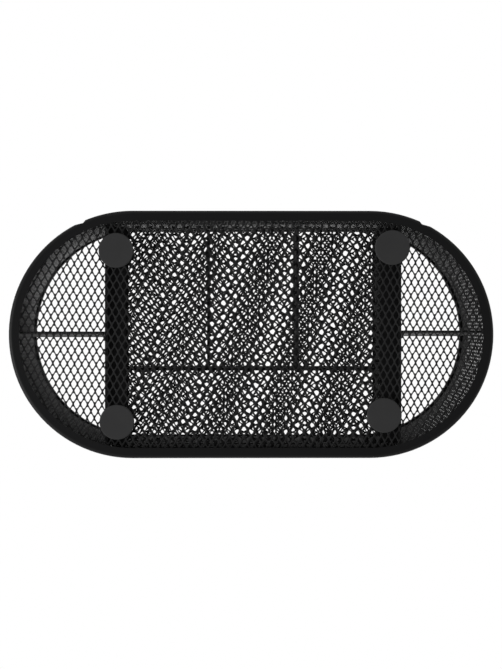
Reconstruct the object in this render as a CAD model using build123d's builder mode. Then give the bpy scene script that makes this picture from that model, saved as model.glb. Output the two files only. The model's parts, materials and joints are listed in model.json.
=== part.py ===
"""Oval mesh desk organizer: four pen bays, a divided tray and a sliding drawer. Millimetres, +Z up, origin
at the centre of the footprint on the desk; the drawer opens towards -Y."""
from build123d import *
from math import atan, degrees
import os

os.makedirs("parts", exist_ok=True)

# ---- Driving dimensions ---------------------------------------------------------------------------------
end_offset = 56.8         # centres of the two half-round ends, each side of the middle
base_radius = 59.2        # outer radius of the base rim at the ends
wall_radius = 54.3        # inner radius of the mesh wall at its foot
wall_top_radius = 52.08   # inner radius of the mesh wall at its upper edge, for it leans inwards a little
sheet = 0.8               # thickness of an expanded-metal panel
steel = 0.8               # thickness of a plain sheet-steel piece
hem_width = 1.4           # width of a folded hem over a mesh edge
hem_height = 4.0          # height of a hem along an upper edge
foot_hem_height = 3.3     # height of a hem along a lower edge
fit_gap = 0.05            # air between pieces that are welded face to face
assembly_shift = -1.1     # the inner walls, tray and drawer stand this far off the middle, along X

pad_diameter = 16.6
pad_height = 3.0
pad_edge = 0.5            # rounded lower edge of a pad
pad_places = {            # the pads are stuck on by hand, so they are not quite square to each other
    "back_right": (64.7, 40.2),
    "back_left": (-67.5, 41.6),
    "front_right": (64.3, -41.9),
    "front_left": (-63.6, -38.7),
}

rim_bottom = 1.2          # underside of the base rim, above the desk
rim_top = 8.0             # top of the base rim
rim_round = 1.8           # rounding of its outer edges
notch_depth = 0.9         # shallow nicks in the base rim's outer edge, at the two back corners
notch_steep = 1.6         # run of a nick's steep side, nearer the middle, and of its gentle side
notch_gentle = 5.0
notch_turns = {"right": 23.9, "left": 25.2}  # degrees from the back, round each half-round end
top_rim_offset = 56.2     # centres of the top rim's half-round inner edges
top_rim_inner = 51.65     # inner radius of the top rim
top_rim_outer = 55.3      # outer radius of the top rim
top_rim_bottom = 96.0
top_rim_top = 103.0
top_rim_round = 1.6
wall_top = 99.4           # the wall ends inside the top rim's channel

cross_wall_halves = {"right": 70.5, "left": 70.1}  # centre planes, from the middle of the inner assembly
tray_wall_half = 63.4     # centre plane of each tray end wall
cap_top = 98.6            # top of the folded cap that joins a cross wall to its tray wall
cap_leg = 4.0
inner_clearance = 0.3     # inner walls and panels stop this far inside the mesh wall
tray_floor_bottom = 42.6
divider_top = 97.0
short_divider_places = {"right": 20.4, "left": -23.4}
long_divider_y = -17.3
end_divider_feet = {"right": 0.9, "left": 1.4}   # Y of each end divider's foot
end_divider_lean = 2.3    # its upper edge stands this much nearer the front
end_hem_width = 1.0

opening_half = 68.7       # half the width of the drawer opening
opening_top = 40.4        # top of the drawer opening
frame_band = 2.0          # height of the band over the opening
frame_jamb = 1.5          # width of the bands beside the opening
frame_proud = 0.3         # the frame's plain band stands this far proud of the mesh on both faces

runner_top = 8.2          # the drawer slides on the runners' flanges
runner_inner_half = 61.3  # inner edge of each flange
runner_leg_top = 20.0
drawer_half = 68.2        # outside of the drawer's sides
drawer_bottom = 8.4
drawer_top = 38.8
drawer_back_y = 51.4
drawer_front_top = 40.0
drawer_front_half = 68.3
drawer_flange = 7.2       # width of the flange under each side, which carries the mesh floor
drawer_travel = 80.0
front_hem = 4.0           # width of the solid border round the drawer's front
tongue_width = 2.5        # stop tongues on the drawer's back
tongue_outer = 66.6
tongue_top = 41.0

pull_width = 46.0
pull_reach = 4.2          # how far the finger lip stands out from the drawer's front
pull_height = 9.0
pull_centre_z = 25.0
rivet_radius = 1.6
rivet_spacing = 34.0

# ---- Derived places -------------------------------------------------------------------------------------
wall_outer = wall_radius + sheet
drawer_hem_width = hem_width - 0.4
floor_bottom = pad_height
floor_top = floor_bottom + sheet
wall_bottom = floor_top + fit_gap
lean = (wall_radius - wall_top_radius) / (wall_top - wall_bottom)
rim_seat = wall_outer + 0.1
frame_top = opening_top + frame_band
frame_half = opening_half + frame_jamb
overall_half = end_offset + base_radius
tray_floor_top = tray_floor_bottom + sheet
divider_bottom = tray_floor_top + fit_gap
tray_hem_top = divider_bottom + foot_hem_height
foot_hem_top = wall_bottom + foot_hem_height
rim_reach = top_rim_inner - 0.3     # what rises past the top rim's underside stops here
cap_bottom = cap_top - cap_leg
inner_wall_top = top_rim_bottom - 0.1
cap_inner = tray_wall_half - sheet / 2 - steel - fit_gap
half_sheet = sheet / 2
half_hem = hem_width / 2
half_end_hem = end_hem_width / 2
sides = {"right": 1, "left": -1}


def ring(inner, outer):
    """Adds the oval band between two end radii to the current sketch."""
    SlotCenterToCenter(2 * end_offset, 2 * outer)
    SlotCenterToCenter(2 * end_offset, 2 * inner, mode=Mode.SUBTRACT)


def block(x_range, y_range, z_range, mode=Mode.ADD):
    """Adds, cuts with or keeps a box given by its two ends along each axis."""
    middle = [(low + high) / 2 for low, high in (x_range, y_range, z_range)]
    size = [high - low for low, high in (x_range, y_range, z_range)]
    with Locations(tuple(middle)):
        Box(*size, mode=mode)


def mirrored(side, near, far):
    """The X range between two distances from the inner assembly's middle, on one side of it."""
    ends = (assembly_shift + side * near, assembly_shift + side * far)
    return (min(ends), max(ends))


def outline_reach(x, radius):
    """Half the depth of an oval of this end radius, at x."""
    beyond = max(0.0, abs(x) - end_offset)
    return (radius**2 - beyond**2) ** 0.5


def radius_at(radius, z):
    """The end radius at this height of a surface that leans like the wall, from its radius at the foot."""
    return radius - (z - wall_bottom) * lean


def leaning_oval(radius, low, high, mode=Mode.ADD):
    """Adds, cuts or keeps an oval block whose sides lean inwards like the wall."""
    with BuildSketch(Plane.XY.offset(low)) as oval:
        SlotCenterToCenter(2 * end_offset, 2 * radius_at(radius, low))
    extrude(oval.sketch, amount=high - low, taper=degrees(atan(lean)), mode=mode)


def leaning_ring(inner, outer, low, high):
    """Adds an oval band that leans inwards like the wall."""
    leaning_oval(outer, low, high)
    leaning_oval(inner, low - 1, high + 1, mode=Mode.SUBTRACT)


def keep_inside(clearance=inner_clearance):
    """Keeps what lies inside the wall, with this much room."""
    leaning_oval(wall_radius - clearance, 0, top_rim_top, mode=Mode.INTERSECT)


# ---- Outer shell ----------------------------------------------------------------------------------------
# Base rim: a folded steel band, rounded outside, with a lip under the floor mesh.
with BuildPart() as base_rim:
    with BuildSketch(Plane.XY.offset(rim_bottom)):
        SlotCenterToCenter(2 * end_offset, 2 * base_radius)
    extrude(amount=rim_top - rim_bottom)
    fillet(base_rim.edges().group_by(Axis.Z)[0], radius=rim_round)
    fillet(base_rim.edges().group_by(Axis.Z)[-1], radius=rim_round)
    with BuildSketch(Plane.XY):
        SlotCenterToCenter(2 * end_offset, 2 * wall_radius)
    extrude(amount=rim_top, mode=Mode.SUBTRACT)
    with BuildSketch(Plane.XY.offset(floor_bottom - fit_gap)):
        SlotCenterToCenter(2 * end_offset, 2 * rim_seat)
    extrude(amount=rim_top, mode=Mode.SUBTRACT)
    for name, turn in notch_turns.items():
        with BuildSketch(Plane.XY):
            with Locations(Location((sides[name] * end_offset, 0), sides[name] * -turn)):
                Polygon(
                    (0, base_radius - notch_depth),
                    (sides[name] * 2 * notch_gentle, base_radius + notch_depth),
                    (-sides[name] * 2 * notch_steep, base_radius + notch_depth),
                    align=None,
                )
        extrude(amount=rim_top, mode=Mode.SUBTRACT)
base_rim.part.label = "base_rim"
export_step(base_rim.part, "parts/base_rim.step")

# Top rim: a rolled channel over the wall's upper edge.
with BuildPart() as top_rim:
    with BuildSketch(Plane.XY.offset(top_rim_bottom)):
        SlotCenterToCenter(2 * end_offset, 2 * top_rim_outer)
        SlotCenterToCenter(2 * top_rim_offset, 2 * top_rim_inner, mode=Mode.SUBTRACT)
    extrude(amount=top_rim_top - top_rim_bottom)
    fillet(top_rim.edges().group_by(Axis.Z)[-1], radius=top_rim_round)
    with BuildSketch(Plane.XY.offset(top_rim_bottom)):
        ring(wall_top_radius - fit_gap, radius_at(wall_outer, top_rim_bottom) + fit_gap)
    extrude(amount=wall_top + fit_gap - top_rim_bottom, mode=Mode.SUBTRACT)
top_rim.part.label = "top_rim"
export_step(top_rim.part, "parts/top_rim.step")

# Floor: one flat expanded-metal panel, which rests on the base rim's lip.
with BuildPart() as floor_mesh:
    with BuildSketch(Plane.XY.offset(floor_bottom)):
        SlotCenterToCenter(2 * end_offset, 2 * wall_outer)
    extrude(amount=sheet)
floor_mesh.part.label = "floor_mesh"
export_step(floor_mesh.part, "parts/floor_mesh.step")

# The wall's straight back, from end to end.
with BuildPart() as wall_back:
    leaning_ring(wall_radius, wall_outer, wall_bottom, wall_top)
    block((-end_offset, end_offset), (0, base_radius), (0, top_rim_top), mode=Mode.INTERSECT)
wall_back.part.label = "wall_back"
export_step(wall_back.part, "parts/wall_back.step")

# The wall's straight front starts above the drawer opening.
with BuildPart() as wall_front:
    leaning_ring(wall_radius, wall_outer, frame_top + fit_gap, wall_top)
    block((-end_offset, end_offset), (-base_radius, 0), (0, top_rim_top), mode=Mode.INTERSECT)
wall_front.part.label = "wall_front"
export_step(wall_front.part, "parts/wall_front.step")

# The wall's half-round ends, cut away where the drawer opening runs into them.
for name, side in sides.items():
    with BuildPart() as wall_end:
        leaning_ring(wall_radius, wall_outer, wall_bottom, wall_top)
        outside = sorted((side * end_offset, side * overall_half))
        block(outside, (-base_radius, base_radius), (0, top_rim_top), mode=Mode.INTERSECT)
        block(
            mirrored(side, 0, frame_half + fit_gap),
            (-base_radius, 0),
            (0, frame_top + fit_gap),
            mode=Mode.SUBTRACT,
        )
    wall_end.part.label = f"wall_end_{name}"
    export_step(wall_end.part, f"parts/wall_end_{name}.step")

# Plain steel band that borders the drawer opening above and at both sides.
with BuildPart() as opening_frame:
    leaning_ring(wall_radius - frame_proud, wall_outer + frame_proud, rim_top + fit_gap, frame_top)
    block(
        mirrored(1, -frame_half, frame_half),
        (-base_radius, 0),
        (0, frame_top),
        mode=Mode.INTERSECT,
    )
    block(
        mirrored(1, -opening_half, opening_half),
        (-base_radius, 0),
        (0, opening_top),
        mode=Mode.SUBTRACT,
    )
opening_frame.part.label = "drawer_opening_frame"
export_step(opening_frame.part, "parts/drawer_opening_frame.step")

# ---- Inner walls, caps and end dividers -----------------------------------------------------------------
for name, side in sides.items():
    cross_wall_half = cross_wall_halves[name]
    cap_outer = cross_wall_half + half_sheet + steel + fit_gap

    # Cross wall: the flat back of the two pen bays, with a hem along its foot.
    with BuildPart() as cross_wall:
        block(
            mirrored(side, cross_wall_half - half_sheet, cross_wall_half + half_sheet),
            (-base_radius, base_radius),
            (foot_hem_top, inner_wall_top),
        )
        keep_inside()
    cross_wall.part.label = f"cross_wall_{name}"
    export_step(cross_wall.part, f"parts/cross_wall_{name}.step")

    with BuildPart() as wall_hem:
        block(
            mirrored(side, cross_wall_half - half_hem, cross_wall_half + half_hem),
            (-base_radius, base_radius),
            (wall_bottom, foot_hem_top),
        )
        keep_inside()
    wall_hem.part.label = f"cross_wall_hem_{name}"
    export_step(wall_hem.part, f"parts/cross_wall_hem_{name}.step")

    # Tray end wall, a little inside the cross wall.
    with BuildPart() as tray_wall:
        block(
            mirrored(side, tray_wall_half - half_sheet, tray_wall_half + half_sheet),
            (-base_radius, base_radius),
            (divider_bottom, inner_wall_top),
        )
        keep_inside()
    tray_wall.part.label = f"tray_end_wall_{name}"
    export_step(tray_wall.part, f"parts/tray_end_wall_{name}.step")

    # Cap: an upturned channel folded over both walls' upper edges, which ends at the top rim.
    cap_reach = outline_reach(abs(assembly_shift + side * cap_outer), rim_reach)
    with BuildPart() as cap:
        block(mirrored(side, cap_inner, cap_outer), (-cap_reach, cap_reach), (cap_bottom, cap_top))
        block(
            mirrored(side, cap_inner + steel, cap_outer - steel),
            (-base_radius, base_radius),
            (0, cap_top - steel),
            mode=Mode.SUBTRACT,
        )
        fillet(cap.edges().group_by(Axis.Z)[-1].filter_by(Axis.Y), radius=0.6)
    cap.part.label = f"wall_cap_{name}"
    export_step(cap.part, f"parts/wall_cap_{name}.step")

    # End divider: parts the half-round end into two pen bays. It leans a little towards the front, and its
    # hems run along both edges.
    near_wall = side * assembly_shift + cross_wall_half + half_sheet + fit_gap
    near_hem = side * assembly_shift + cross_wall_half + half_hem + fit_gap
    near_cap = side * assembly_shift + cap_outer + 0.1
    foot_y = end_divider_feet[name]
    head_y = foot_y - end_divider_lean
    panel_low = foot_hem_top + fit_gap
    panel_high = divider_top - hem_height - fit_gap
    with BuildPart() as end_divider:
        with BuildSketch(Plane.YZ.offset(side * near_wall)):
            with BuildLine():
                Polyline(
                    (foot_y - half_sheet, panel_low),
                    (foot_y + half_sheet, panel_low),
                    (head_y + half_sheet, panel_high),
                    (head_y - half_sheet, panel_high),
                    close=True,
                )
            make_face()
        extrude(amount=side * overall_half)
        keep_inside()
    end_divider.part.label = f"end_divider_{name}"
    export_step(end_divider.part, f"parts/end_divider_{name}.step")

    with BuildPart() as end_hem:
        block(
            sorted((side * near_hem, side * overall_half)),
            (foot_y - half_end_hem, foot_y + half_end_hem),
            (wall_bottom, foot_hem_top),
        )
        block(
            sorted((side * near_cap, side * (top_rim_offset + rim_reach))),
            (head_y - half_end_hem, head_y + half_end_hem),
            (divider_top - hem_height, divider_top),
        )
        keep_inside()
        fillet(end_hem.edges().group_by(Axis.Z)[-1].filter_by(Axis.X), radius=0.4)
    end_hem.part.label = f"end_divider_hems_{name}"
    export_step(end_hem.part, f"parts/end_divider_hems_{name}.step")

# ---- Tray -----------------------------------------------------------------------------------------------
tray_half = tray_wall_half + half_sheet
with BuildPart() as tray_floor:
    block(
        mirrored(1, -tray_half, tray_half),
        (-base_radius, base_radius),
        (tray_floor_bottom, tray_floor_top),
    )
    keep_inside()
tray_floor.part.label = "tray_floor"
export_step(tray_floor.part, "parts/tray_floor.step")

# The long divider runs from one tray end wall to the other.
long_half = tray_wall_half - half_sheet - fit_gap
long_hem_y = (long_divider_y - half_hem, long_divider_y + half_hem)
with BuildPart() as long_divider:
    block(
        mirrored(1, -long_half, long_half),
        (long_divider_y - half_sheet, long_divider_y + half_sheet),
        (tray_hem_top, divider_top - hem_height),
    )
long_divider.part.label = "tray_long_divider"
export_step(long_divider.part, "parts/tray_long_divider.step")

cap_gap_half = cap_inner - 0.1
with BuildPart() as long_hem:
    block(mirrored(1, -long_half, long_half), long_hem_y, (divider_bottom, tray_hem_top))
    block(
        mirrored(1, -cap_gap_half, cap_gap_half),
        long_hem_y,
        (divider_top - hem_height, divider_top),
    )
    fillet(long_hem.edges().group_by(Axis.Z)[-1].filter_by(Axis.X), radius=0.4)
long_hem.part.label = "tray_long_divider_hems"
export_step(long_hem.part, "parts/tray_long_divider_hems.step")

# The two short dividers run from the long one to the back of the wall.
short_front = long_divider_y + half_hem + fit_gap
for name, x_divider in short_divider_places.items():
    hem_x = (x_divider - half_hem, x_divider + half_hem)
    with BuildPart() as short_divider:
        block(
            (x_divider - half_sheet, x_divider + half_sheet),
            (short_front, base_radius),
            (tray_hem_top, divider_top - hem_height),
        )
        keep_inside()
    short_divider.part.label = f"tray_short_divider_{name}"
    export_step(short_divider.part, f"parts/tray_short_divider_{name}.step")

    with BuildPart() as short_hem:
        block(hem_x, (short_front, base_radius), (divider_bottom, tray_hem_top))
        block(hem_x, (short_front, rim_reach), (divider_top - hem_height, divider_top))
        keep_inside()
        fillet(short_hem.edges().group_by(Axis.Z)[-1].filter_by(Axis.Y), radius=0.4)
    short_hem.part.label = f"tray_short_divider_hems_{name}"
    export_step(short_hem.part, f"parts/tray_short_divider_hems_{name}.step")

# ---- Runners, stops and feet ----------------------------------------------------------------------------
stop_y = drawer_back_y - steel - drawer_travel - 0.4
for name, side in sides.items():
    runner_outer_half = cross_wall_halves[name] - half_sheet - fit_gap
    x_outer = abs(assembly_shift + side * runner_outer_half)
    runner_reach = outline_reach(x_outer, radius_at(wall_radius, runner_leg_top)) - 1.0

    # Runner: an angle welded to the cross wall, whose flange carries the drawer.
    with BuildPart() as runner:
        block(
            mirrored(side, runner_outer_half - steel, runner_outer_half),
            (-runner_reach, runner_reach),
            (runner_top - steel, runner_leg_top),
        )
        block(
            mirrored(side, runner_inner_half, runner_outer_half),
            (-runner_reach, runner_reach),
            (runner_top - steel, runner_top),
        )
    runner.part.label = f"drawer_runner_{name}"
    export_step(runner.part, f"parts/drawer_runner_{name}.step")

    # Stop: a small plate on the cross wall that catches the tongue on the drawer's back.
    with BuildPart() as stop:
        block(
            mirrored(side, tongue_outer - tongue_width, runner_outer_half),
            (stop_y - steel, stop_y),
            (drawer_top + 0.6, tray_floor_bottom - 0.8),
        )
    stop.part.label = f"drawer_stop_{name}"
    export_step(stop.part, f"parts/drawer_stop_{name}.step")

for name, (pad_x, pad_y) in pad_places.items():
    with BuildPart() as foot_pad:
        with BuildSketch(Plane.XY):
            with Locations((pad_x, pad_y)):
                Circle(pad_diameter / 2)
        extrude(amount=pad_height)
        fillet(foot_pad.edges().group_by(Axis.Z)[0], radius=pad_edge)
    foot_pad.part.label = f"foot_pad_{name}"
    export_step(foot_pad.part, f"parts/foot_pad_{name}.step")

# ---- Drawer ---------------------------------------------------------------------------------------------
# The drawer's front follows the wall's outline, so its two ends curve back a little.
side_front_y = -outline_reach(abs(assembly_shift) + drawer_half, radius_at(wall_radius, drawer_top)) + 0.3
flange_top = drawer_bottom + steel
drawer_floor_top = flange_top + fit_gap + sheet
inside_half = drawer_half - steel - fit_gap

# Floor: a mesh panel on the sides' flanges.
with BuildPart() as drawer_floor:
    block(
        mirrored(1, -inside_half, inside_half),
        (-base_radius, drawer_back_y - steel - fit_gap),
        (flange_top + fit_gap, drawer_floor_top),
    )
    keep_inside()
drawer_floor.part.label = "drawer_floor"
export_step(drawer_floor.part, "parts/drawer_floor.step")

# Sides: plain steel, each with a flange below and a folded upper edge.
for name, side in sides.items():
    with BuildPart() as drawer_side:
        block(
            mirrored(side, drawer_half - steel, drawer_half),
            (side_front_y, drawer_back_y),
            (drawer_bottom, drawer_top),
        )
        block(
            mirrored(side, drawer_half - drawer_flange, drawer_half),
            (side_front_y, drawer_back_y),
            (drawer_bottom, flange_top),
        )
        block(
            mirrored(side, drawer_half - 2 * steel, drawer_half),
            (side_front_y, drawer_back_y),
            (drawer_top - hem_height, drawer_top),
        )
    drawer_side.part.label = f"drawer_side_{name}"
    export_step(drawer_side.part, f"parts/drawer_side_{name}.step")

back_half = drawer_half - 2 * steel - fit_gap
with BuildPart() as drawer_back:
    block(
        mirrored(1, -back_half, back_half),
        (drawer_back_y - sheet, drawer_back_y),
        (drawer_floor_top + fit_gap, drawer_top - hem_height),
    )
drawer_back.part.label = "drawer_back"
export_step(drawer_back.part, "parts/drawer_back.step")

# Folded edge over the drawer's back, with two tongues that meet the stops.
with BuildPart() as drawer_back_hem:
    block(
        mirrored(1, -back_half, back_half),
        (drawer_back_y - drawer_hem_width, drawer_back_y),
        (drawer_top - hem_height, drawer_top),
    )
    for side in sides.values():
        block(
            mirrored(side, tongue_outer - 2 * tongue_width, back_half),
            (drawer_back_y - steel, drawer_back_y),
            (drawer_top - hem_height, tongue_top),
        )
drawer_back_hem.part.label = "drawer_back_hem"
export_step(drawer_back_hem.part, "parts/drawer_back_hem.step")

# Front: a mesh panel inside a solid border of four strips.
panel_half = drawer_front_half - front_hem
panel_bottom = drawer_bottom + front_hem
panel_top = drawer_front_top - front_hem
with BuildPart() as drawer_front:
    leaning_ring(wall_radius, wall_outer, panel_bottom, panel_top)
    block(
        mirrored(1, -panel_half, panel_half),
        (-base_radius, 0),
        (panel_bottom, panel_top),
        mode=Mode.INTERSECT,
    )
drawer_front.part.label = "drawer_front"
export_step(drawer_front.part, "parts/drawer_front.step")

with BuildPart() as drawer_front_hem:
    leaning_ring(wall_radius - frame_proud, wall_outer + frame_proud, drawer_bottom, drawer_front_top)
    block(
        mirrored(1, -drawer_front_half, drawer_front_half),
        (-base_radius, 0),
        (drawer_bottom, drawer_front_top),
        mode=Mode.INTERSECT,
    )
    block(
        mirrored(1, -panel_half - fit_gap, panel_half + fit_gap),
        (-base_radius, 0),
        (panel_bottom - fit_gap, panel_top + fit_gap),
        mode=Mode.SUBTRACT,
    )
drawer_front_hem.part.label = "drawer_front_hem"
export_step(drawer_front_hem.part, "parts/drawer_front_hem.step")

# Pull: a finger lip of bent sheet, riveted to the drawer's front.
pull_low = pull_centre_z - pull_height / 2
pull_y = -radius_at(wall_outer, pull_low) - fit_gap
pull_high = pull_centre_z + pull_height / 2
with BuildPart() as drawer_pull:
    with BuildSketch(Plane.YZ.offset(assembly_shift - pull_width / 2)):
        with BuildLine():
            Polyline(
                (pull_y, pull_low),
                (pull_y, pull_high),
                (pull_y - steel, pull_high),
                (pull_y - steel, pull_low + steel),
                (pull_y - pull_reach + steel, pull_low + steel),
                (pull_y - pull_reach + steel, pull_low + 2.5 * steel),
                (pull_y - pull_reach, pull_low + 2.5 * steel),
                (pull_y - pull_reach, pull_low),
                close=True,
            )
        make_face()
    extrude(amount=pull_width)
drawer_pull.part.label = "drawer_pull"
export_step(drawer_pull.part, "parts/drawer_pull.step")

with BuildPart() as pull_rivets:
    with BuildSketch(Plane.XZ.offset(-pull_y + steel)):
        with Locations(
            (assembly_shift - rivet_spacing / 2, pull_centre_z + 1.5),
            (assembly_shift + rivet_spacing / 2, pull_centre_z + 1.5),
        ):
            Circle(rivet_radius)
    extrude(amount=0.7)
    fillet(pull_rivets.edges().group_by(Axis.Y)[0], radius=0.4)
pull_rivets.part.label = "drawer_pull_rivets"
export_step(pull_rivets.part, "parts/drawer_pull_rivets.step")
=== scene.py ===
import json
import math

import bmesh
import bpy
import numpy as np
from mathutils import Matrix, Vector


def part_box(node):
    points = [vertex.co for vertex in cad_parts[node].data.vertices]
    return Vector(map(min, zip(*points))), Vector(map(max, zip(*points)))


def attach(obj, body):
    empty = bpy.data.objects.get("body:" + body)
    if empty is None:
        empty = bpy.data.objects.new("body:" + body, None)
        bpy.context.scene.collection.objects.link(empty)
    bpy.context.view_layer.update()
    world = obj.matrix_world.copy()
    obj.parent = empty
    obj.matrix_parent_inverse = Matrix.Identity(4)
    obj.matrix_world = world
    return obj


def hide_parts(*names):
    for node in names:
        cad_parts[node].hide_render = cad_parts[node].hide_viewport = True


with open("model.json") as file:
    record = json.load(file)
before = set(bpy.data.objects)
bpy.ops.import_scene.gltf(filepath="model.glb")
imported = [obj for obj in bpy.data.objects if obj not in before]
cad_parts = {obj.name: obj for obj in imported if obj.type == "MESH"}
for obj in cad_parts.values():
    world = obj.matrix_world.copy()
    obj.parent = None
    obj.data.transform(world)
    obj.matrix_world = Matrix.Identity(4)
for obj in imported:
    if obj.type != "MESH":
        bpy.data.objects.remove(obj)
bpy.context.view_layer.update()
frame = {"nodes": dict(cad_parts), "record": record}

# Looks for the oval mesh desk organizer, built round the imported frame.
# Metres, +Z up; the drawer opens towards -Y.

MM = 0.001

# ---- Expanded-metal mesh --------------------------------------------------------------------------------
STRAND = 0.56 * MM          # width of a strand
THICKNESS = 0.52 * MM       # thickness of a strand
EDGE_SHARE = 0.60           # how much of the thickness is left at a strand's rounded edge
TWIST = 0.10 * MM           # a strand's two edges lie this far above and below its middle
SHORT_TIP = 0.94            # how far a hole reaches into the corners that end its cell's short axis
LONG_TIP = 0.78             # the same for the corners that end the long axis
SIDE_POINTS = (0.22, 0.66)  # where a hole's side bends, on the way from a short axis's corner to a long one's
CELL_POINTS = (1 / 3, 2 / 3)  # the matching points on the cell's own side
SPARE_CELLS = 6             # half cells laid past a sheet's corners before it is trimmed
WELD = 1e-8                 # vertices nearer than this are one
CUT_SLACK = 1e-9            # vertices this near to a cut lie on it


def hole_ring(half_u, half_v, strand):
    """The twelve corners of a hole in a cell of this half width and half height, and the twelve matching
    points on the cell's own diamond outline."""
    depth = half_u * half_v / math.hypot(half_u, half_v)
    scale = 1 - strand / (2 * depth)
    hole, cell = [], []
    quarters = [((1, 0), (0, 1)), ((0, 1), (-1, 0)), ((-1, 0), (0, -1)), ((0, -1), (1, 0))]
    for start, end in quarters:
        starts_long = (start[0] != 0) == (half_u > half_v)
        bends = [1 - s for s in reversed(SIDE_POINTS)] if starts_long else SIDE_POINTS
        start = np.array(start, float) * (half_u, half_v)
        end = np.array(end, float) * (half_u, half_v)
        hole.append(start * scale * (LONG_TIP if starts_long else SHORT_TIP))
        cell.append(start)
        for inner, outer in zip(bends, CELL_POINTS):
            hole.append((start + (end - start) * inner) * scale)
            cell.append(start + (end - start) * outer)
    return np.array(hole), np.array(cell)


class Weave:
    """The cells of an expanded-metal sheet: their size, strand width, the turns of their two axes in
    degrees, the middle of one hole, and how fast the cells grow along u."""

    def __init__(self, pitch_u, pitch_v, strand=STRAND, turns=(0.0, 0.0), origin=(0.0, 0.0), growth=0.0):
        self.pitch_u, self.pitch_v, self.strand, self.growth = pitch_u, pitch_v, strand, growth
        turn_u, turn_v = (math.radians(turn) for turn in turns)
        self.axes = np.array([[math.cos(turn_u), -math.sin(turn_v)], [math.sin(turn_u), math.cos(turn_v)]])
        self.origin = np.array(origin, float)

    def spread(self, points):
        """Places on the sheet of points given in cell coordinates."""
        grown = np.array(points, float)
        grown[..., 0] += self.growth * grown[..., 0] ** 2
        return grown @ self.axes.T + self.origin


def hole_centres(u_range, v_range, weave):
    """The middles, in cell coordinates, of the holes that cover a rectangle with a margin."""
    halves = (weave.pitch_u / 2, weave.pitch_v / 2)
    corners = np.array([(u, v) for u in u_range for v in v_range]) - weave.origin
    back = corners @ np.linalg.inv(weave.axes).T
    low = np.floor(back.min(0) / halves).astype(int) - SPARE_CELLS
    high = np.ceil(back.max(0) / halves).astype(int) + SPARE_CELLS
    grid = np.array([(i, j) for i in range(low[0], high[0] + 1) for j in range(low[1], high[1] + 1)
                     if (i + j) % 2 == 0], float)
    centres = grid * halves
    u, v = weave.spread(centres).T
    margin = max(weave.pitch_u, weave.pitch_v)
    near = ((u > u_range[0] - margin) & (u < u_range[1] + margin)
            & (v > v_range[0] - margin) & (v < v_range[1] + margin))
    return centres[near]


def lattice(u_range, v_range, weave):
    """A flat expanded-metal sheet that covers a rectangle with a margin. Returns its vertices, as u, v and
    height, and its quads."""
    half_u, half_v = weave.pitch_u / 2, weave.pitch_v / 2
    hole, cell = hole_ring(half_u, half_v, weave.strand)
    centres = hole_centres(u_range, v_range, weave)
    count, ring = len(centres), len(hole)
    tilt = TWIST * (hole[:, 0] / half_u if half_v > half_u else hole[:, 1] / half_v)
    edge = THICKNESS / 2 * EDGE_SHARE
    layers = [
        (hole, tilt + edge),
        (hole, tilt - edge),
        (cell, np.full(ring, THICKNESS / 2)),
        (cell, np.full(ring, -THICKNESS / 2)),
    ]
    points = np.zeros((count, len(layers), ring, 3))
    for k, (shape, heights) in enumerate(layers):
        points[:, k, :, :2] = weave.spread(centres[:, None, :] + shape[None, :, :])
        points[:, k, :, 2] = heights[None, :]
    points = points.reshape(-1, 3)
    first_point = (np.arange(count) * len(layers) * ring)[:, None]
    this = np.arange(ring)[None, :]
    following = (this + 1) % ring
    hole_top, hole_under, cell_top, cell_under = (first_point + k * ring for k in range(len(layers)))
    faces = np.concatenate([
        np.stack([upper + this, upper + following, lower + following, lower + this], 2).reshape(-1, 4)
        for upper, lower in ((cell_top, hole_top), (hole_top, hole_under), (hole_under, cell_under))])
    keys = np.round(points / WELD).astype(np.int64)
    _, first, inverse = np.unique(keys, axis=0, return_index=True, return_inverse=True)
    return points[first], inverse.reshape(-1)[faces]


def level_cuts(u_values, v_values):
    """Cuts along lines of constant u and of constant v, as a point on each line and the way across it."""
    return [((u, 0), (1, 0)) for u in u_values] + [((0, v), (0, 1)) for v in v_values]


def beside(cut, u, v):
    """How far a point lies past a cut."""
    (cut_u, cut_v), (across_u, across_v) = cut
    return (u - cut_u) * across_u + (v - cut_v) * across_v


def cut_panel(name, sheet, cuts, keep, place):
    """Cuts a flat lattice along lines, keeps the faces whose middle passes keep, closes the cut ends and
    bends the result into place."""
    vertices, faces = sheet
    mesh = bpy.data.meshes.new(name)
    mesh.from_pydata(vertices.tolist(), [], faces.tolist())
    bm = bmesh.new()
    bm.from_mesh(mesh)
    for (u, v), (across_u, across_v) in cuts:
        bmesh.ops.bisect_plane(bm, geom=bm.verts[:] + bm.edges[:] + bm.faces[:], plane_co=(u, v, 0),
                               plane_no=(across_u, across_v, 0), dist=CUT_SLACK)
    outside = [face for face in bm.faces if not keep(*face.calc_center_median()[:2])]
    bmesh.ops.delete(bm, geom=outside, context="FACES")
    bmesh.ops.holes_fill(bm, edges=[edge for edge in bm.edges if edge.is_boundary], sides=0)
    for vertex in bm.verts:
        vertex.co = place(*vertex.co)
    bmesh.ops.recalc_face_normals(bm, faces=bm.faces[:])
    for face in bm.faces:
        face.smooth = True
    bm.to_mesh(mesh)
    bm.free()
    piece = bpy.data.objects.new(name, mesh)
    bpy.context.scene.collection.objects.link(piece)
    return piece


def finish_panel(piece, body, node, material):
    """Gives a panel its coat and its body, and lets it stand for the CAD sheet."""
    piece.data.materials.append(material)
    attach(piece, body)
    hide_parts(node)


# ---- Materials ------------------------------------------------------------------------------------------
BROAD_SCALE = 60.0          # noise scale of the slight change of shade
SHADE_SWING = 0.12          # how much the shade changes, as a share
ROUGH_SWING = 0.05          # how much the roughness changes
BUMP_STRENGTH = 0.5


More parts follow.
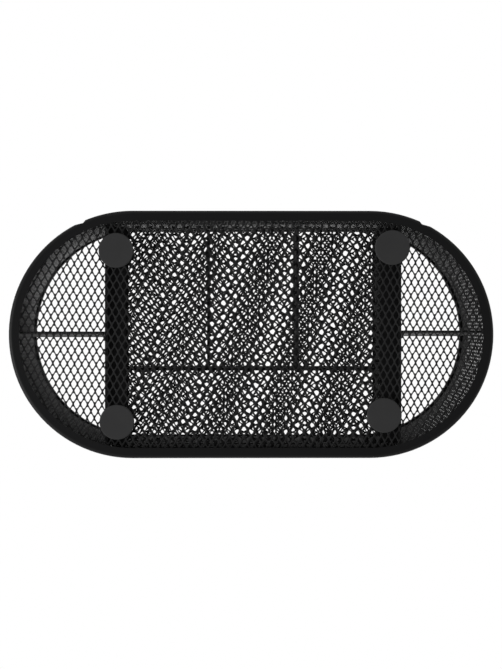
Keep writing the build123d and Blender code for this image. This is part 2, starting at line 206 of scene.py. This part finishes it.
def coated(name, colour, roughness, grain, depth, specular=0.5):
    """A powder coat or foam surface: fine bumps of this grain and depth, a slight change of shade and of
    roughness."""
    material = bpy.data.materials.new(name)
    material.use_nodes = True
    nodes, links = material.node_tree.nodes, material.node_tree.links
    shader = nodes["Principled BSDF"]
    shader.inputs["Specular IOR Level"].default_value = specular
    place = nodes.new("ShaderNodeTexCoord")

    def noise(scale, detail):
        texture = nodes.new("ShaderNodeTexNoise")
        texture.inputs["Scale"].default_value = scale
        texture.inputs["Detail"].default_value = detail
        links.new(place.outputs["Object"], texture.inputs["Vector"])
        return texture

    fine = noise(grain, 3.0)
    broad = noise(BROAD_SCALE, 2.0)
    shade = nodes.new("ShaderNodeMix")
    shade.data_type = "RGBA"
    shade.inputs["A"].default_value = [c * (1 - SHADE_SWING) for c in colour] + [1]
    shade.inputs["B"].default_value = [c * (1 + SHADE_SWING) for c in colour] + [1]
    links.new(broad.outputs["Fac"], shade.inputs["Factor"])
    links.new(shade.outputs["Result"], shader.inputs["Base Color"])
    rough = nodes.new("ShaderNodeMapRange")
    rough.inputs["To Min"].default_value = roughness - ROUGH_SWING
    rough.inputs["To Max"].default_value = roughness + ROUGH_SWING
    links.new(fine.outputs["Fac"], rough.inputs["Value"])
    links.new(rough.outputs["Result"], shader.inputs["Roughness"])
    bump = nodes.new("ShaderNodeBump")
    bump.inputs["Strength"].default_value = BUMP_STRENGTH
    bump.inputs["Distance"].default_value = depth
    links.new(fine.outputs["Fac"], bump.inputs["Height"])
    links.new(bump.outputs["Normal"], shader.inputs["Normal"])
    return material


MESH_COAT = coated("black_mesh_coat", (0.042, 0.042, 0.043), 0.62, 1400.0, 0.03 * MM)
# The walls' coat is a lit copy of the mesh coat, about twice as light and glossier: painted light standing in
# for the brightness the inner wall faces catch.
WALL_COAT_PAINTED_LIGHT = coated("black_wall_coat_painted_light", (0.085, 0.085, 0.086), 0.50, 1400.0, 0.03 * MM)
SHEET_COAT = coated("black_sheet_coat", (0.018, 0.018, 0.019), 0.50, 1100.0, 0.04 * MM)
RIM_COAT = coated("black_rim_coat", (0.014, 0.014, 0.015), 0.50, 900.0, 0.05 * MM)
RIVET_COAT = coated("black_rivet_coat", (0.020, 0.020, 0.021), 0.40, 1600.0, 0.02 * MM)
PAD_FOAM = coated("pad_foam", (0.108, 0.108, 0.109), 0.90, 2600.0, 0.08 * MM, specular=0.2)

SLOT_MATERIALS = {"black_mesh": MESH_COAT, "black_sheet": SHEET_COAT, "black_rim": RIM_COAT,
                  "black_rivet": RIVET_COAT, "pad_foam": PAD_FOAM}
for subpart in frame["record"]["subparts"]:
    node = frame["nodes"][subpart["node"]]
    node.data.materials.clear()
    node.data.materials.append(SLOT_MATERIALS[subpart["material_slot"]])

# ---- The organizer's oval -------------------------------------------------------------------------------
WALL_CLEARANCE = 0.3 * MM   # between the wall and the panels inside it

floor_low, floor_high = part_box("floor_mesh")
wall_low, wall_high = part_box("wall_back")
END_OFFSET = floor_high.x - floor_high.y        # from the middle to each half-round end's centre
HALF_SHEET = (floor_high.z - floor_low.z) / 2
WALL_MIDDLE = wall_high.y - HALF_SHEET          # end radius of the wall's middle surface at its foot
WALL_LEAN = (WALL_MIDDLE - wall_low.y - HALF_SHEET) / (wall_high.z - wall_low.z)


def wall_radius(z):
    """End radius of the wall's middle surface at this height: the wall leans inwards."""
    return WALL_MIDDLE - (z - wall_low.z) * WALL_LEAN


def inner_radius(z):
    """End radius of the space inside the wall at this height."""
    return wall_radius(z) - HALF_SHEET - WALL_CLEARANCE


def middle_height(node):
    low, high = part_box(node)
    return (low.z + high.z) / 2


def from_core(x, y):
    """The nearest point on the line between the two end centres, and the distance from it."""
    core = max(-END_OFFSET, min(END_OFFSET, x))
    return core, math.hypot(x - core, y)


# ---- Floors ---------------------------------------------------------------------------------------------
FLOOR_TUCK = 0.1 * MM       # the floor's mesh ends this far inside the CAD sheet's edge
TRIM_MARGIN = 1.5 * MM      # faces this far past the oval are kept, then pulled in to its edge


def flat_floor(name, body, node, weave, oval_radius):
    """A level mesh panel, cut to its node's box and to the oval of this end radius."""
    low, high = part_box(node)
    level = middle_height(node)
    sheet = lattice((low.x, high.x), (low.y, high.y), weave)

    def keep(x, y):
        inside_box = low.x < x < high.x and low.y < y < high.y
        return inside_box and from_core(x, y)[1] < oval_radius + TRIM_MARGIN

    def place(x, y, height):
        core, away = from_core(x, y)
        if away > oval_radius:
            x, y = core + (x - core) * oval_radius / away, y * oval_radius / away
        return (x, y, level + height)

    cuts = level_cuts((low.x, high.x), (low.y, high.y))
    piece = cut_panel(name, sheet, cuts, keep, place)
    finish_panel(piece, body, node, MESH_COAT)


FLOOR_WEAVE = Weave(3.398 * MM, 6.39 * MM, turns=(2.05, 1.94), origin=(-1.46 * MM, -1.18 * MM), growth=0.089)
DRAWER_WEAVE = Weave(3.909 * MM, 6.398 * MM, strand=0.85 * MM, turns=(0.90, -0.16),
                     origin=(-2.28 * MM, 1.59 * MM))
TRAY_WEAVE = Weave(6.006 * MM, 3.525 * MM, strand=0.62 * MM, turns=(0.31, -0.69),
                   origin=(-2.32 * MM, -0.66 * MM))
flat_floor("mesh_floor", "organizer", "floor_mesh", FLOOR_WEAVE, floor_high.y - FLOOR_TUCK)
flat_floor("mesh_drawer_floor", "drawer", "drawer_floor", DRAWER_WEAVE,
           inner_radius(middle_height("drawer_floor")))
flat_floor("mesh_tray_floor", "organizer", "tray_floor", TRAY_WEAVE,
           inner_radius(middle_height("tray_floor")))

# ---- Outer wall and the drawer's front ------------------------------------------------------------------
JAMB_GAP = 0.05 * MM        # between the wall and the drawer opening's frame
CELLS_AROUND = 166
ARC = math.pi * WALL_MIDDLE
AROUND = 4 * END_OFFSET + 2 * ARC
WALL_WEAVE = Weave(AROUND / CELLS_AROUND, 6.39 * MM)


def outline_point(along, radius):
    """The point this far along the wall's middle line, from the front's middle towards +X, on the oval of
    this end radius."""
    along %= AROUND
    if along < END_OFFSET:
        return along, -radius
    along -= END_OFFSET
    if along < ARC:
        angle = along / WALL_MIDDLE
        return END_OFFSET + radius * math.sin(angle), -radius * math.cos(angle)
    along -= ARC
    if along < 2 * END_OFFSET:
        return END_OFFSET - along, radius
    along -= 2 * END_OFFSET
    if along < ARC:
        angle = along / WALL_MIDDLE
        return -END_OFFSET - radius * math.sin(angle), radius * math.cos(angle)
    along -= ARC
    return -END_OFFSET + along, -radius


def along_at(x, z):
    """How far along the wall the front's point at this x and height lies."""
    beyond = abs(x) - END_OFFSET
    if beyond <= 0:
        return x
    return math.copysign(END_OFFSET + WALL_MIDDLE * math.asin(beyond / wall_radius(z)), x)


def upright_cut(x, z_range, lap=0.0):
    """The cut that follows an upright edge at this x on the leaning wall's front, lap further along."""
    low, high = along_at(x, z_range[0]), along_at(x, z_range[1])
    return ((low + lap, z_range[0]), (z_range[1] - z_range[0], low - high))


def curved_panel(name, body, node, u_range, v_range, sides, notch=None):
    """A panel bent round the wall between its two side cuts. A notch is a side cut, the side of it where
    the panel stays, and the height up to which the rest is cut away."""
    sheet = lattice(u_range, v_range, WALL_WEAVE)

    def keep(u, v):
        if not (beside(sides[0], u, v) > 0 > beside(sides[1], u, v) and v_range[0] < v < v_range[1]):
            return False
        return notch is None or v > notch[2] or beside(notch[0], u, v) * notch[1] > 0

    def place(u, v, height):
        x, y = outline_point(u, wall_radius(v) + height)
        return (x, y, v)

    cuts = sides + level_cuts((), v_range)
    if notch:
        cuts += [notch[0]] + level_cuts((), (notch[2],))
    piece = cut_panel(name, sheet, cuts, keep, place)
    # The wall and drawer-front panels take the lit copy of the mesh coat: painted light.
    finish_panel(piece, body, node, WALL_COAT_PAINTED_LIGHT)


opening_low, opening_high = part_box("drawer_opening_frame")
front_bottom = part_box("wall_front")[0].z
wall_span = (wall_low.z, wall_high.z)
jamb_span = (wall_low.z, front_bottom)
right_jamb = upright_cut(opening_high.x + JAMB_GAP, jamb_span)
left_jamb = upright_cut(opening_low.x - JAMB_GAP, jamb_span, AROUND)
right_end = (END_OFFSET, END_OFFSET + ARC)
back = (right_end[1], right_end[1] + 2 * END_OFFSET)
left_end = (back[1], back[1] + ARC)
WALLS = (
    ("front", (-END_OFFSET, END_OFFSET), (front_bottom, wall_high.z), None),
    ("end_right", right_end, wall_span, (right_jamb, 1, front_bottom)),
    ("back", back, wall_span, None),
    ("end_left", left_end, wall_span, (left_jamb, -1, front_bottom)),
)
for wall, wall_range, height_range, wall_notch in WALLS:
    curved_panel(f"mesh_wall_{wall}", "organizer", f"wall_{wall}", wall_range, height_range,
                 level_cuts(wall_range, ()), wall_notch)
panel_low, panel_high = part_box("drawer_front")
panel_span = (panel_low.z, panel_high.z)
curved_panel("mesh_drawer_front", "drawer", "drawer_front",
             (along_at(panel_low.x, panel_high.z), along_at(panel_high.x, panel_high.z)), panel_span,
             [upright_cut(panel_low.x, panel_span), upright_cut(panel_high.x, panel_span)])

# ---- Upright inner panels -------------------------------------------------------------------------------
PANEL_WEAVE = Weave(3.40 * MM, 6.39 * MM)


def leaning_cut(end, z_range):
    """The cut along an upright panel's edge that follows the leaning wall, from the edge's place at the
    panel's foot."""
    rise = z_range[1] - z_range[0]
    return ((end, z_range[0]), (rise, math.copysign(rise * WALL_LEAN, end)))


def upright_panel(name, body, node, walls=(), slope=0.0):
    """An upright panel, thin along X or along Y. walls lists the ends, -1 or 1, that follow the wall;
    slope is how far the panel leans towards the front from foot to head."""
    low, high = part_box(node)
    size = high - low
    thin = 0 if size.x < size.y else 1
    run = 1 - thin
    foot = (low[thin] + high[thin] + slope) / 2
    span = (low.z, high.z)
    sheet = lattice((low[run], high[run]), span, PANEL_WEAVE)
    start, end = level_cuts((low[run], high[run]), ())
    if -1 in walls:
        start = leaning_cut(low[run], span)
    if 1 in walls:
        end = leaning_cut(high[run], span)

    def keep(u, v):
        return beside(start, u, v) > 0 > beside(end, u, v) and low.z < v < high.z

    def place(u, v, height):
        point = [0.0, 0.0, v]
        point[thin] = foot - slope * (v - low.z) / (high.z - low.z) + height
        point[run] = u
        return tuple(point)

    piece = cut_panel(name, sheet, [start, end] + level_cuts((), span), keep, place)
    finish_panel(piece, body, node, MESH_COAT)


for side, outward in (("right", 1), ("left", -1)):
    divider_low, divider_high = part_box(f"end_divider_{side}")
    divider_slope = divider_high.y - divider_low.y - 2 * HALF_SHEET
    upright_panel(f"mesh_cross_wall_{side}", "organizer", f"cross_wall_{side}", (-1, 1))
    upright_panel(f"mesh_tray_end_wall_{side}", "organizer", f"tray_end_wall_{side}", (-1, 1))
    upright_panel(f"mesh_end_divider_{side}", "organizer", f"end_divider_{side}", (outward,), divider_slope)
    upright_panel(f"mesh_short_divider_{side}", "organizer", f"tray_short_divider_{side}", (1,))
upright_panel("mesh_long_divider", "organizer", "tray_long_divider")
upright_panel("mesh_drawer_back", "drawer", "drawer_back")

# ---- World: the camera sees white, light comes softly from a shaded sky ---------------------------------
SKY_SHADES = ((0.0, 0.055), (0.5, 0.42), (1.0, 0.26))  # light from straight below, the horizon and above

scene = bpy.context.scene
scene.view_settings.view_transform = "Standard"
scene.view_settings.look = "None"
world = bpy.data.worlds.new("studio")
scene.world = world
world.use_nodes = True
world_nodes, world_links = world.node_tree.nodes, world.node_tree.links
backdrop = world_nodes["Background"]
backdrop.inputs["Color"].default_value = (1, 1, 1, 1)
backdrop.inputs["Strength"].default_value = 1.0
ambient = world_nodes.new("ShaderNodeBackground")
heading = world_nodes.new("ShaderNodeTexCoord")
parts = world_nodes.new("ShaderNodeSeparateXYZ")
rise = world_nodes.new("ShaderNodeMapRange")
rise.inputs["From Min"].default_value = -1.0
sky = world_nodes.new("ShaderNodeValToRGB")
sky.color_ramp.elements.new(SKY_SHADES[1][0])
for stop, (place, shade) in zip(sky.color_ramp.elements, SKY_SHADES):
    stop.position = place
    stop.color = (shade, shade, shade, 1)
path = world_nodes.new("ShaderNodeLightPath")
choose = world_nodes.new("ShaderNodeMixShader")
world_links.new(heading.outputs["Generated"], parts.inputs["Vector"])
world_links.new(parts.outputs["Z"], rise.inputs["Value"])
world_links.new(rise.outputs["Result"], sky.inputs["Fac"])
world_links.new(sky.outputs["Color"], ambient.inputs["Color"])
world_links.new(path.outputs["Is Camera Ray"], choose.inputs["Fac"])
world_links.new(ambient.outputs["Background"], choose.inputs[1])
world_links.new(backdrop.outputs["Background"], choose.inputs[2])
world_links.new(choose.outputs["Shader"], world_nodes["World Output"].inputs["Surface"])

# ---- Ground: pale from above, clear from below ----------------------------------------------------------
GROUND_SIZE = 6.0
GROUND_DROP = 0.0003        # it lies this far below the foot pads

bpy.ops.mesh.primitive_grid_add(x_subdivisions=2, y_subdivisions=2, size=GROUND_SIZE,
                                location=(0, 0, -GROUND_DROP))
ground = bpy.context.object
ground.name = "ground"
ground_paint = bpy.data.materials.new("pale_ground")
ground_paint.use_nodes = True
ground_nodes, ground_links = ground_paint.node_tree.nodes, ground_paint.node_tree.links
paint = ground_nodes["Principled BSDF"]
paint.inputs["Base Color"].default_value = (0.86, 0.86, 0.86, 1)
paint.inputs["Roughness"].default_value = 0.8
clear = ground_nodes.new("ShaderNodeBsdfTransparent")
facing = ground_nodes.new("ShaderNodeNewGeometry")
one_way = ground_nodes.new("ShaderNodeMixShader")
ground_links.new(facing.outputs["Backfacing"], one_way.inputs["Fac"])
ground_links.new(paint.outputs["BSDF"], one_way.inputs[1])
ground_links.new(clear.outputs["BSDF"], one_way.inputs[2])
ground_links.new(one_way.outputs["Shader"], ground_nodes["Material Output"].inputs["Surface"])
ground.data.materials.append(ground_paint)
ground.visible_diffuse = False
ground.visible_glossy = False
ground.visible_transmission = False
ground.visible_shadow = False


# ---- Lights and camera ----------------------------------------------------------------------------------
def soft_light(name, place, aim, size, power):
    """A round area light of this diameter that the camera doesn't see."""
    lamp = bpy.data.lights.new(name, "AREA")
    lamp.shape = "DISK"
    lamp.size = size
    lamp.energy = power
    holder = bpy.data.objects.new(name, lamp)
    scene.collection.objects.link(holder)
    holder.location = place
    holder.rotation_euler = (Vector(aim) - Vector(place)).to_track_quat("-Z", "Y").to_euler()
    holder.visible_camera = False


soft_light("key_below", place=(0.90, -0.25, -0.50), aim=(0, 0, 0.03), size=0.7, power=2.6)
soft_light("top_soft", place=(-0.20, -0.50, 1.10), aim=(0, 0, 0.05), size=0.9, power=4.0)

CAMERA_PLACE = Vector((0.0229, 0.0089, -1.456))
CAMERA_AIM = Vector((0.0002, 0.0, 0.0012))
PICTURE_TOP = Vector((0, 1, 0))   # the way that is up in the picture

camera_data = bpy.data.cameras.new("camera")
camera_data.lens = 164.04
camera_data.sensor_width = 36.0
camera_data.clip_start = 0.01
camera_data.clip_end = 100.0
camera = bpy.data.objects.new("camera", camera_data)
scene.collection.objects.link(camera)
forward = (CAMERA_AIM - CAMERA_PLACE).normalized()
rightward = forward.cross(PICTURE_TOP).normalized()
upward = rightward.cross(forward)
camera.location = CAMERA_PLACE
camera.rotation_euler = Matrix((rightward, upward, -forward)).transposed().to_euler()
scene.camera = camera
